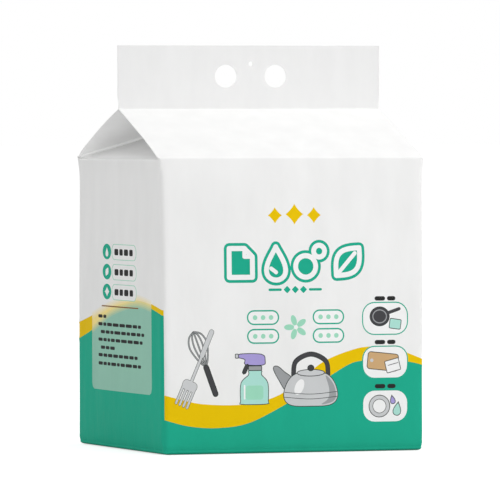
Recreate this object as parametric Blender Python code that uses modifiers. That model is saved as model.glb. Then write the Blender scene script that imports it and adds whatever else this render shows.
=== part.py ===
"""Sealed pack of kitchen paper towels in a side-gusseted film bag, in metres with +Z up.

The towels can't be seen, so the film and what fills it are one solid. The bag is a tube of film
round the stack. Above the shoulder its front and back panels lean in to a ridge like a roof, the
two side panels are tucked in between them, and all the film ends in a flat header to carry it by.

The origin is the middle of the base. The front panel faces -Y, and the gussets open to -X and +X.
"""

import math

import bmesh
import bpy
from mathutils import Vector

# Main sizes
FRONT_WIDTH = 0.222         # film of the front and back panels, so the ridge and header too
BODY_DEPTH = 0.1984          # front to back, between the upright corners
SHOULDER_HEIGHT = 0.2295    # base to the line where the panels lean in
GABLE_RISE = 0.040          # shoulder line to ridge
HEADER_HEIGHT = 0.050       # ridge to the header's top edge
HEADER_THICKNESS = 0.0008   # four layers of film, welded together
FLAP_THICKNESS = 0.0008     # a leaning panel with the gusset film folded under it
GUSSET_GAP = 0.032          # along the ridge, between the tips of the two tucked gussets

# Soft shape of the filled body
SIDE_DRAW = 0.0013          # the body's sides stand this far inside the gable's free edges
SHOULDER_DRAW = 0.0056      # front and back lean in by this much, up to the shoulder
FRONT_CROWN = 0.0025        # swell of the front and back panels
SIDE_CROWN = 0.0015         # swell of the side panels
CORNER_RADIUS = 0.006       # upright corners
SHOULDER_CORNER = 0.003     # the same corners at the shoulder, where the folds start
SHOULDER_ROUND = 0.003      # rounding along the shoulder line
GABLE_BULGE = 0.0040        # swell of the leaning panels
FREE_EDGE_BULGE = 0.0028    # the same at their free edges, over the gussets
GUSSET_SAG = 0.0016         # hollow of the tucked side panel
CREASE_DROP = 0.0045        # most that the fold under a panel hangs below it

# Folded bottom
FLOOR_INSET = 0.0045        # flat underside starts this far inside the panels
BEAD_INSET = 0.0010         # folded film along the base stands this far inside the panels
BEAD_HEIGHT = 0.0022
GROOVE_WIDTH = 0.0012       # crease above the folded film
GROOVE_DEPTH = 0.0007
LAP_OFFSET = 0.006          # lap of the two bottom flaps, behind the middle line
FOLD_MARK = 0.0005          # depth of the fold marks under the pack

# Holes through the header
FINGER_HOLE = 0.0182        # diameter
FINGER_SPACING = 0.0418     # centre to centre
FINGER_DROP = 0.0246        # centre below the header's top edge
HANG_HOLE = 0.0037          # diameter
HANG_DROP = 0.0150          # centre below the header's top edge

# How finely the surface is divided
FRONT_COLUMNS = 10
CORNER_COLUMNS = 4
GUSSET_FOLDS = 16
BODY_ROWS = 9
SHOULDER_ROWS = 3
BEAD_ROWS = 3
HOLE_SIDES = 24
DRAW_POWER = 2              # how late the body's draw starts on its way up
CROWN_POWER = 4             # how flat the body's swell is between base and shoulder

# Printed fields of colour on the film
WHITE_FILM = (0.86, 0.87, 0.87, 1.0)
YELLOW_INK = (0.79, 0.53, 0.01, 1.0)
GREEN_INK = (0.02, 0.39, 0.26, 1.0)
FILM_ROUGHNESS = 0.32
WAVE_LEVEL = 0.060          # mean height of the yellow band's upper edge
WAVE_SWING = 0.022          # rise and fall of the wave about that height
WAVE_LENGTH = 0.256
WAVE_SHIFT = 0.068          # the wave's crest, to the right of the front's middle line
BAND_WIDTH = 0.014          # mean width of the yellow band

HALF_WIDTH = FRONT_WIDTH / 2
HALF_DEPTH = BODY_DEPTH / 2
SHOULDER_HALF_DEPTH = HALF_DEPTH - SHOULDER_DRAW
RIDGE_HEIGHT = SHOULDER_HEIGHT + GABLE_RISE
TOP_HEIGHT = RIDGE_HEIGHT + HEADER_HEIGHT
GUSSET_TUCK = HALF_WIDTH - GUSSET_GAP / 2
GABLE_SLOPE = math.atan2(GABLE_RISE, SHOULDER_HALF_DEPTH)
PANEL_NORMAL = Vector((0, -math.sin(GABLE_SLOPE), math.cos(GABLE_SLOPE)))
SHOULDER_REACH = SHOULDER_ROUND * math.tan((math.pi / 2 - GABLE_SLOPE) / 2)


def shares(count):
    """The fractions from 0 to 1 in equal steps."""
    return [i / count for i in range(count + 1)]


def body_section(height, inset=0.0):
    """A quarter of the filled body's outline, from mid front round the corner to mid side."""
    rise = height / SHOULDER_HEIGHT
    draw = rise ** DRAW_POWER
    half_width = HALF_WIDTH - SIDE_DRAW * (1 - draw) - inset
    half_depth = HALF_DEPTH - SHOULDER_DRAW * draw - inset
    radius = CORNER_RADIUS + (SHOULDER_CORNER - CORNER_RADIUS) * draw - inset
    swell = 1 - abs(2 * rise - 1) ** CROWN_POWER
    flat_x = half_width - radius
    flat_y = half_depth - radius
    points = []
    for share in shares(FRONT_COLUMNS)[:-1]:
        crown = FRONT_CROWN * swell * (1 - share ** 2)
        points.append(Vector((-flat_x * share, -half_depth - crown, height)))
    for share in shares(CORNER_COLUMNS):
        turn = share * math.pi / 2
        points.append(Vector((-flat_x - radius * math.sin(turn), -flat_y - radius * math.cos(turn), height)))
    for share in shares(GUSSET_FOLDS)[1:]:
        crown = SIDE_CROWN * swell * (1 - (1 - share) ** 2)
        points.append(Vector((-half_width - crown, -flat_y * (1 - share), height)))
    return points


def panel_point(x, lean):
    """A point on the front leaning panel, where lean is 0 at the shoulder and 1 at the ridge."""
    y = -(SHOULDER_HALF_DEPTH * (1 - lean) + HEADER_THICKNESS / 2 * lean)
    bulge = GABLE_BULGE + (FREE_EDGE_BULGE - GABLE_BULGE) * (x / HALF_WIDTH) ** 2
    flat = Vector((x, y, SHOULDER_HEIGHT + GABLE_RISE * lean))
    return flat + PANEL_NORMAL * bulge * 4 * lean * (1 - lean)


def tucked_point(across, lean):
    """A point of the tucked side film, where across is 0 at its free edge and 1 at mid side.

    The film outside the crease lies under the leaning panel. The rest spans the gusset.
    """
    fold = min(across, lean)
    below = FLAP_THICKNESS + CREASE_DROP * 4 * fold * (1 - lean)
    point = panel_point(-HALF_WIDTH + GUSSET_TUCK * fold, lean) - PANEL_NORMAL * below
    if across > lean:
        span = (1 - across) / (1 - lean)
        point.y *= span
        point.z -= GUSSET_SAG * 4 * lean * (1 - lean) * (1 - span ** 2)
    if lean == 1:
        point.y = 0
    return point


def gable_section(lean):
    """The same quarter above the shoulder: leaning panel, its free edge, and tucked gusset."""
    half_flap = FLAP_THICKNESS / 2
    edge_x = -HALF_WIDTH + half_flap
    points = [panel_point(edge_x * share, lean) for share in shares(FRONT_COLUMNS)[:-1]]
    middle = panel_point(edge_x, lean) - PANEL_NORMAL * half_flap
    for share in shares(CORNER_COLUMNS)[:-1]:
        turn = share * math.pi
        outward = PANEL_NORMAL * math.cos(turn) - Vector((math.sin(turn), 0, 0))
        points.append(middle + outward * half_flap)
    points += [tucked_point(share, lean) for share in shares(GUSSET_FOLDS)]
    return points


def shoulder_section(share, below, corner, above):
    """One step of the rounding from the body's top row to the gable's first row."""
    return [(1 - share) ** 2 * a + 2 * share * (1 - share) * b + share ** 2 * c
            for a, b, c in zip(below, corner, above)]


def header_section(height):
    """The header's quarter, from its middle to the mirror plane at its end."""
    half = HEADER_THICKNESS / 2
    edge_x = -HALF_WIDTH + half
    points = [Vector((edge_x * share, -half, height)) for share in shares(FRONT_COLUMNS)[:-1]]
    for share in shares(CORNER_COLUMNS):
        turn = share * math.pi / 2
        points.append(Vector((edge_x - half * math.sin(turn), -half * math.cos(turn), height)))
    points[-1].y = 0
    return points


def base_rows():
    """The folded film along the base, and the crease above it."""
    rows = []
    for share in shares(BEAD_ROWS):
        turn = share * math.pi / 2
        inset = FLOOR_INSET - (FLOOR_INSET - BEAD_INSET) * math.sin(turn)
        rows.append(body_section(BEAD_HEIGHT * (1 - math.cos(turn)), inset))
    rows.append(body_section(BEAD_HEIGHT + GROOVE_WIDTH / 2, BEAD_INSET + GROOVE_DEPTH))
    rows.append(body_section(BEAD_HEIGHT + GROOVE_WIDTH, BEAD_INSET))
    return rows


def body_rows():
    """The filled body, up to where the shoulder's rounding starts."""
    low = BEAD_HEIGHT + GROOVE_WIDTH + CORNER_RADIUS
    high = SHOULDER_HEIGHT - SHOULDER_REACH
    return [body_section(low + (high - low) * share) for share in shares(BODY_ROWS)]


def gable_rows(below):
    """The shoulder's rounding and the gable. Each row puts the crease on the next column."""
    first_lean = SHOULDER_REACH * math.cos(GABLE_SLOPE) / SHOULDER_HALF_DEPTH
    first = gable_section(first_lean)
    corner = body_section(SHOULDER_HEIGHT)
    rows = []
    for share in shares(SHOULDER_ROWS)[1:-1]:
        rows.append(shoulder_section(share, below, corner, first))
    crease_start = len(rows)
    rows.append(first)
    rows += [gable_section(share) for share in shares(GUSSET_FOLDS)[1:]]
    return rows, crease_start


def add_rows(mesh, rows):
    """Vertices for each row of points."""
    return [[mesh.verts.new(point) for point in row] for row in rows]


def quarter_mesh():
    """One quarter of the bag's outside, open at the two mirror planes."""
    lower = base_rows() + body_rows()
    gable, crease_start = gable_rows(lower[-1])
    crease_start += len(lower)
    mesh = bmesh.new()
    rows = add_rows(mesh, lower + gable)
    header = add_rows(mesh, [header_section(RIDGE_HEIGHT + HEADER_THICKNESS), header_section(TOP_HEIGHT)])
    first_fold = FRONT_COLUMNS + CORNER_COLUMNS
    for number, (row, above) in enumerate(zip(rows, rows[1:])):
        crease = first_fold + number - crease_start
        for column in range(len(row) - 1):
            a, b, c, d = row[column], above[column], above[column + 1], row[column + 1]
            if column == crease:
                mesh.faces.new((a, b, c))
                mesh.faces.new((a, c, d))
            else:
                mesh.faces.new((a, b, c, d))
    for row, above in zip([rows[-1]] + header, header):
        for column in range(first_fold):
            mesh.faces.new((row[column], above[column], above[column + 1], row[column + 1]))
    floor_middle = mesh.verts.new((0, 0, 0))
    mesh.faces.new(rows[0] + [floor_middle])
    top_middle = mesh.verts.new((0, 0, TOP_HEIGHT))
    mesh.faces.new(list(reversed(header[-1])) + [top_middle])
    return mesh


def film_material():
    """White film with a green field at the bottom, under a yellow band that runs as a wave."""
    material = bpy.data.materials.new("printed_film")
    material.use_nodes = True
    nodes = material.node_tree.nodes
    links = material.node_tree.links
    shader = nodes["Principled BSDF"]
    shader.inputs["Roughness"].default_value = FILM_ROUGHNESS
    shader.inputs["Metallic"].default_value = 0.0
    place = nodes.new("ShaderNodeTexCoord")
    split = nodes.new("ShaderNodeSeparateXYZ")
    links.new(place.outputs["Object"], split.inputs["Vector"])

    def step(operation, first, second):
        node = nodes.new("ShaderNodeMath")
        node.operation = operation
        for socket, value in zip(node.inputs, (first, second)):
            if isinstance(value, (int, float)):
                socket.default_value = value
            else:
                links.new(value, socket)
        return node.outputs["Value"]

    phase = step("MULTIPLY", step("SUBTRACT", split.outputs["X"], WAVE_SHIFT), math.tau / WAVE_LENGTH)
    wave = step("MULTIPLY", step("COSINE", phase, 0.0), WAVE_SWING)
    above_wave = step("SUBTRACT", split.outputs["Z"], wave)
    colour = WHITE_FILM
    for level, ink in ((WAVE_LEVEL, YELLOW_INK), (WAVE_LEVEL - BAND_WIDTH, GREEN_INK)):
        mix = nodes.new("ShaderNodeMix")
        mix.data_type = "RGBA"
        links.new(step("LESS_THAN", above_wave, level), mix.inputs["Factor"])
        if isinstance(colour, tuple):
            mix.inputs["A"].default_value = colour
        else:
            links.new(colour, mix.inputs["A"])
        mix.inputs["B"].default_value = ink
        colour = mix.outputs["Result"]
    links.new(colour, shader.inputs["Base Color"])
    return material


def add_mirrors(pack):
    """The quarter repeated to the right and to the back."""
    mirror = pack.modifiers.new("four_quarters", "MIRROR")
    mirror.use_axis = (True, True, False)
    mirror.use_clip = True
    mirror.merge_threshold = 0.00001


def move_to(cutter, collection):
    """A cutter goes in its own collection and is never seen."""
    for holder in cutter.users_collection:
        holder.objects.unlink(cutter)
    collection.objects.link(cutter)
    cutter.hide_render = True
    cutter.display_type = "WIRE"


def cut(pack, cutter):
    """Take the cutter's shape out of the pack."""
    boolean = pack.modifiers.new("cut_" + cutter.name, "BOOLEAN")
    boolean.operation = "DIFFERENCE"
    boolean.solver = "EXACT"
    boolean.object = cutter


def hole_cutter(name, diameter, x, drop, collection):
    """A round punch through the header."""
    bpy.ops.mesh.primitive_cylinder_add(
        vertices=HOLE_SIDES, radius=diameter / 2, depth=20 * HEADER_THICKNESS,
        location=(x, 0, TOP_HEIGHT - drop), rotation=(math.pi / 2, 0, 0))
    cutter = bpy.context.object
    cutter.name = name
    move_to(cutter, collection)
    return cutter


def mark_cutter(name, start, end, collection):
    """A square bar on its edge, along a fold line of the underside."""
    along = Vector(end) - Vector(start)
    side = FOLD_MARK * math.sqrt(2)
    bpy.ops.mesh.primitive_cube_add(size=1, location=(Vector(start) + Vector(end)) / 2)
    cutter = bpy.context.object
    cutter.name = name
    cutter.rotation_euler = (math.pi / 4, 0, math.atan2(along.y, along.x))
    cutter.scale = (along.length, side, side)
    move_to(cutter, collection)
    return cutter


def cut_header(pack, collection):
    """Two finger holes and a small hole to hang the pack by."""
    for name, side in (("finger_left", -1), ("finger_right", 1)):
        cut(pack, hole_cutter(name, FINGER_HOLE, side * FINGER_SPACING / 2, FINGER_DROP, collection))
    cut(pack, hole_cutter("hang_hole", HANG_HOLE, 0, HANG_DROP, collection))


def mark_folds(pack, collection):
    """The underside's lap and the slanting folds at its four corners."""
    corner_x = HALF_WIDTH - SIDE_DRAW - CORNER_RADIUS
    corner_y = HALF_DEPTH - CORNER_RADIUS
    tip_x = HALF_WIDTH - GUSSET_TUCK
    cut(pack, mark_cutter("lap", (-corner_x, LAP_OFFSET, 0), (corner_x, LAP_OFFSET, 0), collection))
    for side in (-1, 1):
        for end in (-1, 1):
            start = (side * corner_x, end * corner_y, 0)
            finish = (side * tip_x, LAP_OFFSET + end * LAP_OFFSET, 0)
            name = "fold_" + ("left" if side < 0 else "right") + ("_front" if end < 0 else "_back")
            cut(pack, mark_cutter(name, start, finish, collection))


def new_collection(name):
    collection = bpy.data.collections.new(name)
    bpy.context.scene.collection.children.link(collection)
    return collection


def build():
    for old in list(bpy.data.objects):
        bpy.data.objects.remove(old, do_unlink=True)
    parts = new_collection("kitchen_towel_pack")
    cutters = new_collection("cutters")
    mesh = quarter_mesh()
    data = bpy.data.meshes.new("towel_pack")
    mesh.to_mesh(data)
    mesh.free()
    data.materials.append(film_material())
    pack = bpy.data.objects.new("towel_pack", data)
    parts.objects.link(pack)
    add_mirrors(pack)
    cut_header(pack, cutters)
    mark_folds(pack, cutters)
    data.shade_smooth()
    data.set_sharp_from_angle(angle=math.radians(35))


build()
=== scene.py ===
"""Looks of the sealed pack of kitchen paper towels: film, folds, print, floor, light and camera."""

import math

import bmesh
import bpy
from mathutils import Matrix, Vector, kdtree, noise
from mathutils.geometry import delaunay_2d_cdt


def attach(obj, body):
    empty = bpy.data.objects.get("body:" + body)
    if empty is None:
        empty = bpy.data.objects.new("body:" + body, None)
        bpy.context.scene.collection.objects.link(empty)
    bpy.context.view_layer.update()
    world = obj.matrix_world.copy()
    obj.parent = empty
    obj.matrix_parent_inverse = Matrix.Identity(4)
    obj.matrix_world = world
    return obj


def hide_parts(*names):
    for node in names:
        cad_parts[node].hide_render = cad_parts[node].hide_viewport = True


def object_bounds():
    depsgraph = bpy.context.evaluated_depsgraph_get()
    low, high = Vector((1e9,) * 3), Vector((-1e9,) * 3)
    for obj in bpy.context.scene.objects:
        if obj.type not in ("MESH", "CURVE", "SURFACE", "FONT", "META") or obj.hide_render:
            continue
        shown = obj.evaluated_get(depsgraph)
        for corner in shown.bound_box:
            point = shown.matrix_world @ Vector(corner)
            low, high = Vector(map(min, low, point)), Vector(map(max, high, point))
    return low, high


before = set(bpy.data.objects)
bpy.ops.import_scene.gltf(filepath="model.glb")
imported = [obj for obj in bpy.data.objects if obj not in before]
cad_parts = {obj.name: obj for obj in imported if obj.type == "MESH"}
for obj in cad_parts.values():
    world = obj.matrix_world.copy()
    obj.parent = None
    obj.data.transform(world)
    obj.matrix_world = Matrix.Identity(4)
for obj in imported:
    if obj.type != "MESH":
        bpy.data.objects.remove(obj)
CAD_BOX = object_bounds()

MM = 0.001

# The bag's sizes, in metres, close to those of the frame's solid
HALF_WIDTH = 0.1104
HALF_DEPTH = 0.0998
SHOULDER_HEIGHT = 0.2306
GABLE_RISE = 0.0379  # from the shoulder up to the ridge
RIDGE_HEIGHT = SHOULDER_HEIGHT + GABLE_RISE
TOP_TRIM = 0.0008  # keeps the top just inside the solid's
TOP_HEIGHT = CAD_BOX[1][2] - TOP_TRIM

# The filled body
SIDE_DRAW = 0.0013  # how much further in each side is at the base
SHOULDER_DRAW = 0.0056  # how much further in the front and back are at the shoulder
DRAW_POWER = 2
FRONT_CROWN = 0.0018  # how far the panels' middles stand out
SIDE_CROWN = 0.0008
CROWN_POWER = 4
CORNER_RADIUS = 0.0036  # of the upright corners
SHOULDER_CORNER = 0.0018  # the same at the shoulder
CORNER_POWER = 14
LEAST_RADIUS = 0.0005
SHOULDER_ROUND = 0.0016  # radius of the turn into the leaning panels
RIPPLES = (((14, 14, 11), 0, 0.0007), ((42, 42, 26), 7, 0.00018))  # rates, shift and height
RIPPLE_CALM = 0.02  # over which they fade out at the base and shoulder
FOOT_INSET = 0.0005  # how far the film draws in just above the base
FOOT_HEIGHT = 0.016

# The leaning panels and the gussets between them
FLAP_THICKNESS = 0.0007
GUSSET_TUCK = 0.095
FRONT_BULGES = (0.0012, 0.0004)  # of a leaning panel, at its middle and at its free edges
BACK_BULGES = (0.0040, 0.0021)
SHARED_BULGES = (0.0026, 0.0016)  # where the two gusset halves meet
GUSSET_LIFT = 0.0022  # of the line where they meet
CREASE_DROP = 0.0045  # most that the tucked film hangs below its leaning panel

# The header and its holes
HEADER_THICKNESS = 0.0007
HEADER_FLARE = 0.0075  # share by which it is wider at its top
FLARE_START = 0.002  # above the ridge
FLARE_REACH = 0.01
HEADER_SWAY = 0.0005
SWAY_START = 0.004
SWAY_REACH = 0.02
SWAY_RATES = (22, 16)  # across and upwards
SWAY_PLACE = 3.1
FINGER_HOLE = 0.0182
FINGER_SPACING = 0.0418
FINGER_DROP = 0.0243  # of its centre below the header's top
HANG_HOLE = 0.0037
HANG_DROP = 0.0146
HOLES_SHIFT = 0.0011  # of all three holes, to the right

# The folded bottom: bead, groove, lap and slanting folds
FLOOR_INSET = 0.0045
BEAD_INSET = 0.0005
BEAD_HEIGHT = 0.0022
GROOVE_WIDTH = 0.0012
GROOVE_DEPTH = 0.0002
GROOVE_MARGIN = 0.0026  # from the groove up to the printed sheets
LAP_OFFSET = 0.006
FOLD_MARK = 0.0005
FOLD_MARK_WIDTH = 0.0014
FOLD_END = 0.0020  # the fold marks stop this far inside the underside's edge

SHOULDER_HALF_DEPTH = HALF_DEPTH - SHOULDER_DRAW
GABLE_SLOPE = math.atan2(GABLE_RISE, SHOULDER_HALF_DEPTH)
PANEL_NORMAL = Vector((0, -math.sin(GABLE_SLOPE), math.cos(GABLE_SLOPE)))
SHOULDER_REACH = SHOULDER_ROUND * math.tan((math.pi / 2 - GABLE_SLOPE) / 2)

# The narrow fold where a gusset's hollow meets its flank under the leaning panel
CREASE_GRIP = 0.0042  # how far it reaches into each of the two
GRIP_LIMIT = 0.8  # share of them that it takes at most
CREASE_BEAD = 0.0004  # how far its middle stands out

# The fold along the top of each filled side, which sinks and swells outwards
SIDE_SINKS = (0.0009, 0.0021)  # at its front and back ends
SIDE_SINK_REACH = 0.0034
SIDE_SINK_FADE = 0.004  # over which it fades out towards the bag's corners
SIDE_SWELLS = (0.0009, 0.0013)
SIDE_SWELL_REACH = 0.010

# How finely the film is divided
STEP = 0.0030  # body, header and underside
CORNER_COLUMNS = 8
CORNER_HOLD = 0.0045  # share of half a panel beyond its last column
PANEL_COLUMNS = 34  # half a leaning panel
FLANK_COLUMNS = 14
HOLLOW_COLUMNS = 22
GABLE_ROWS = 36
SHOULDER_ROWS = 5
BEAD_ROWS = 5
NEAR_CREASE = (0.0006, 0.0012, 0.0018, 0.0024, 0.0030, 0.0036, 0.0042)
NEAR_END = 0.01  # in mm, nearer than this to a panel's end a column is the end
NEAR_POINT = 0.001  # in mm, nearer than this two points of a border are one
WELD = 0.000001
SHARP_ANGLE = 50

# Inks, as linear colours
INKS = {
    "film": (0.87, 0.87, 0.865),
    "thin_film": (0.87, 0.87, 0.865),  # header and gussets, with nothing behind them
    "creased_film": (0.96, 0.96, 0.955),  # paler than the film along a gusset's crease: a painted highlight
    "white": (0.90, 0.90, 0.90),
    "green": (0.018, 0.406, 0.268),
    "pale_green": (0.34, 0.70, 0.52),
    "yellow": (0.82, 0.546, 0.004),
    "pale_yellow": (0.93, 0.76, 0.30),
    "panel_tint": (0.309, 0.572, 0.457),
    "mint": (0.42, 0.74, 0.66),
    "lilac": (0.40, 0.34, 0.68),
    "tan": (0.62, 0.40, 0.20),
    "brown": (0.26, 0.13, 0.05),
    "light_grey": (0.60, 0.61, 0.62),
    "grey": (0.34, 0.35, 0.36),
    "dark_grey": (0.065, 0.065, 0.07),
    "ink_black": (0.03, 0.03, 0.03),
    "line": (0.035, 0.045, 0.04),
}
CLOUDING = 0.02  # how far the ink varies, as a share
CLOUDING_SCALE = 55
FILM_IOR = 1.5
FILM_ROUGHNESS = (0.34, 0.44)
ROUGHNESS_SCALE = 120
FILM_SHEEN = 0.015
CREASE_SHEEN = 0.9
FILM_GLOW = 0.6  # share of light that spreads inside the thin film
FILM_GLOW_DEPTH = 0.015
FILM_WRINKLES = ((60, 0.0005), (420, 0.00004))  # noise scale and depth
FILM_PULL = (1.0, 1.0, 0.35)  # draws the noise out upwards
NOISE_DETAIL = 3.0
NOISE_SPAN = (0.3, 0.7)  # where most of a noise's values lie

# Floor, light and camera
FLOOR_SIZE = 60.0
FLOOR_DROP = 0.0003  # keeps it clear of the underside
FLOOR_WHITE = (0.58, 0.58, 0.58)
FLOOR_ROUGHNESS = 0.9
FLOOR_GLOW = 0.64  # seen by the camera alone
SURROUND_LEVEL = 0.68
AIM = Vector((0, 0, 0.15))
LAMP_DISTANCE = 3.0
LAMPS = {  # power, size and direction from the aim
    "front_lamp": (39.0, 2.0, (0.32, -0.27, 0.18)),
    "top_lamp": (17.0, 2.0, (0.0, -0.20, 1.0)),
    "gusset_lamp": (12.2, 0.5, (-0.93, -0.36, 0.02)),
    "back_lamp": (10.0, 2.0, (-0.05, 0.75, 0.45)),
}
CAMERA_AZIMUTH = -20.93
CAMERA_DISTANCE = 5.5585
CAMERA_HEIGHT = 0.2805
CAMERA_SIDESTEP = 0.0006
CAMERA_PITCH = 1.279
CAMERA_LENS = 504.0

# The unrolled body: four panels, each with a flat run and half a rounded corner at both ends
FLAT_FRONT = HALF_WIDTH - SIDE_DRAW - CORNER_RADIUS
FLAT_SIDE = HALF_DEPTH - CORNER_RADIUS
HALF_CORNER = CORNER_RADIUS * math.pi / 4
TUBE_LOW = BEAD_HEIGHT + GROOVE_WIDTH + GROOVE_MARGIN
TUBE_HIGH = SHOULDER_HEIGHT - SHOULDER_REACH

PANELS = {
    "front": (Vector((0, -1, 0)), Vector((1, 0, 0)), FLAT_FRONT),
    "right": (Vector((1, 0, 0)), Vector((0, 1, 0)), FLAT_SIDE),
    "back": (Vector((0, 1, 0)), Vector((-1, 0, 0)), FLAT_FRONT),
    "left": (Vector((-1, 0, 0)), Vector((0, -1, 0)), FLAT_SIDE),
}


def shares(count):
    """The fractions from 0 to 1 in equal steps."""
    return [i / count for i in range(count + 1)]


def smooth(value):
    """0 below 0, 1 above 1, and an even turn between."""
    value = min(max(value, 0.0), 1.0)
    return value * value * (3 - 2 * value)


def part_way(low, high, share):
    """What lies a share of the way between two numbers."""
    return low + (high - low) * share


# The shape of the film

def ripple(point):
    """Soft unevenness of the filled film, outwards in metres."""
    return sum(height * noise.noise(Vector((point.x * x + shift, point.y * y, point.z * z)))
               for (x, y, z), shift, height in RIPPLES)


def body_point(panel, along, height, inset=0.0):
    """A point of the filled body, at a distance along a panel from its middle line."""
    outward, right, flat = PANELS[panel]
    rise = height / SHOULDER_HEIGHT
    draw = rise ** DRAW_POWER
    inset += FOOT_INSET * smooth(1 - height / FOOT_HEIGHT)
    half_width = HALF_WIDTH - SIDE_DRAW * (1 - draw) - inset
    half_depth = HALF_DEPTH - SHOULDER_DRAW * draw - inset
    radius = part_way(CORNER_RADIUS, SHOULDER_CORNER, rise ** CORNER_POWER)
    radius = max(radius - inset, LEAST_RADIUS)
    if panel in ("front", "back"):
        run, face, crown = half_width - radius, half_depth, FRONT_CROWN
    else:
        run, face, crown = half_depth - radius, half_width, SIDE_CROWN
    beyond = max(abs(along) - flat, 0.0)
    turn = beyond / HALF_CORNER * math.pi / 4
    share = min(abs(along) / flat, 1.0)
    swell = (1 - abs(2 * rise - 1) ** CROWN_POWER) * (1 - share ** 2) ** 2 * crown
    out = face - radius + radius * math.cos(turn) + swell
    across = math.copysign(run * share + radius * math.sin(turn), along)
    point = outward * out + right * across + Vector((0, 0, height))
    direction = outward * math.cos(turn) + right * math.copysign(math.sin(turn), along)
    calm = smooth(height / RIPPLE_CALM) * smooth((SHOULDER_HEIGHT - height) / RIPPLE_CALM)
    return point + direction * ripple(point) * calm


def panel_point(x, lean, bulges):
    """A point on the front leaning panel, where lean is 0 at the shoulder and 1 at the ridge."""
    y = -(SHOULDER_HALF_DEPTH * (1 - lean) + HEADER_THICKNESS / 2 * lean)
    bulge = part_way(*bulges, (x / HALF_WIDTH) ** 2)
    flat = Vector((x, y, SHOULDER_HEIGHT + GABLE_RISE * lean))
    return flat + PANEL_NORMAL * bulge * 4 * lean * (1 - lean)


def spaced(width, count):
    """Distances from the crease out to width, close together beside the crease."""
    near = [min(d, width * (i + 1) / count) for i, d in enumerate(NEAR_CREASE)]
    rest = count - len(near)
    return [0.0] + near + [near[-1] + (width - near[-1]) * (i + 1) / rest for i in range(rest)]


def tucked_point(lean, distance, inner, bulges):
    """A point of a front gusset's film at a distance from its crease, on the hollow or the flank.

    The flank lies under the leaning panel. The hollow spans the gusset between the two creases.
    """
    crease = GUSSET_TUCK * lean
    across = crease + distance if inner else crease - distance
    fold = min(across, crease)
    span = 1.0
    if inner and lean < 1:
        span = max(1 - distance / (GUSSET_TUCK * (1 - lean)), 0.0)
    bulges = [part_way(shared, own, span) for shared, own in zip(SHARED_BULGES, bulges)]
    below = FLAP_THICKNESS + CREASE_DROP * 4 * fold / GUSSET_TUCK * (1 - lean)
    point = panel_point(-HALF_WIDTH + fold, lean, bulges)
    point -= PANEL_NORMAL * below
    point.y *= span
    point.z += GUSSET_LIFT * 4 * lean * (1 - lean) * (1 - span ** 2)
    point.y = 0.0 if lean == 1 else min(point.y, 0.0)
    return point


def creased_point(lean, distance, inner, bulges):
    """The same, with the sharp crease flattened into a narrow fold that faces outwards."""
    crease = GUSSET_TUCK * lean
    grip = min(CREASE_GRIP, GRIP_LIMIT * crease, GRIP_LIMIT * (GUSSET_TUCK - crease))
    if distance >= grip:
        return tucked_point(lean, distance, inner, bulges)
    flank = tucked_point(lean, grip, False, bulges)
    hollow = tucked_point(lean, grip, True, bulges)
    turn = distance / grip * math.pi / 2
    aside = (hollow - flank) / 2 * math.sin(turn) * (1 if inner else -1)
    outward = Vector((-1, 1, 0)).normalized() * CREASE_BEAD * grip / CREASE_GRIP
    point = (flank + hollow) / 2 + aside + outward * math.cos(turn)
    point.y = min(point.y, 0.0)
    return point


def panel_shares():
    """Shares of half a panel, the last near its end, where it keeps the corner's shading off."""
    return [share * (1 - CORNER_HOLD) for share in shares(PANEL_COLUMNS - 1)]


def gable_quarter(lean, bulges):
    """The front left quarter above the shoulder, from mid panel to mid gusset."""
    half_flap = FLAP_THICKNESS / 2
    edge_x = -HALF_WIDTH + half_flap
    points = [panel_point(edge_x * share, lean, bulges) for share in panel_shares()]
    middle = panel_point(edge_x, lean, bulges) - PANEL_NORMAL * half_flap
    for share in shares(CORNER_COLUMNS)[:-1]:
        turn = share * math.pi
        outward = PANEL_NORMAL * math.cos(turn) - Vector((math.sin(turn), 0, 0))
        points.append(middle + outward * half_flap)
    width = GUSSET_TUCK * lean
    points += [creased_point(lean, d, False, bulges)
               for d in reversed(spaced(width, FLANK_COLUMNS))]
    points += [creased_point(lean, d, True, bulges)
               for d in spaced(GUSSET_TUCK - width, HOLLOW_COLUMNS)[1:]]
    return points


def quarter_places():
    """Where the same columns lie on the body: panel and distance from its middle line."""
    side_end = FLAT_SIDE + HALF_CORNER
    half = CORNER_COLUMNS // 2
    places = [("front", -FLAT_FRONT * share) for share in panel_shares()]
    places += [("front", -FLAT_FRONT - HALF_CORNER * share) for share in shares(half)[:-1]]
    places += [("left", side_end - HALF_CORNER * share) for share in shares(half)[:-1]]
    places += [("left", FLAT_SIDE)] * (FLANK_COLUMNS + 1)
    reach = spaced(GUSSET_TUCK, HOLLOW_COLUMNS)[1:]
    places += [("left", FLAT_SIDE * (1 - d / GUSSET_TUCK)) for d in reach]
    return places


def full_ring(front, back):
    """Two quarters' lists repeated round the bag, as (item, mirrored in x, mirrored in y)."""
    ring = [(item, 1, 1) for item in reversed(front)]
    ring += [(item, -1, 1) for item in front[1:]]
    ring += [(item, -1, -1) for item in reversed(back[:-1])]
    ring += [(item, 1, -1) for item in back[1:-1]]
    return ring


def gable_ring(lean):
    """The film all round at one share of the way from the shoulder to the ridge."""
    quarters = [gable_quarter(lean, bulges) for bulges in (FRONT_BULGES, BACK_BULGES)]
    return [Vector((p.x * sx, p.y * sy, p.z)) for p, sx, sy in full_ring(*quarters)]


OPPOSITE = {"front": "back", "back": "front", "left": "right", "right": "left"}


def ring_places():
    """The ring's columns on the body, as (panel, distance along it)."""
    ring = []
    for (panel, along), sx, sy in full_ring(quarter_places(), quarter_places()):
        if (sy if panel in ("front", "back") else sx) < 0:
            panel = OPPOSITE[panel]
        ring.append((panel, along * sx * sy))
    return ring


def body_ring(height, inset=0.0):
    return [body_point(panel, along, height, inset) for panel, along in ring_places()]


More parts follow.
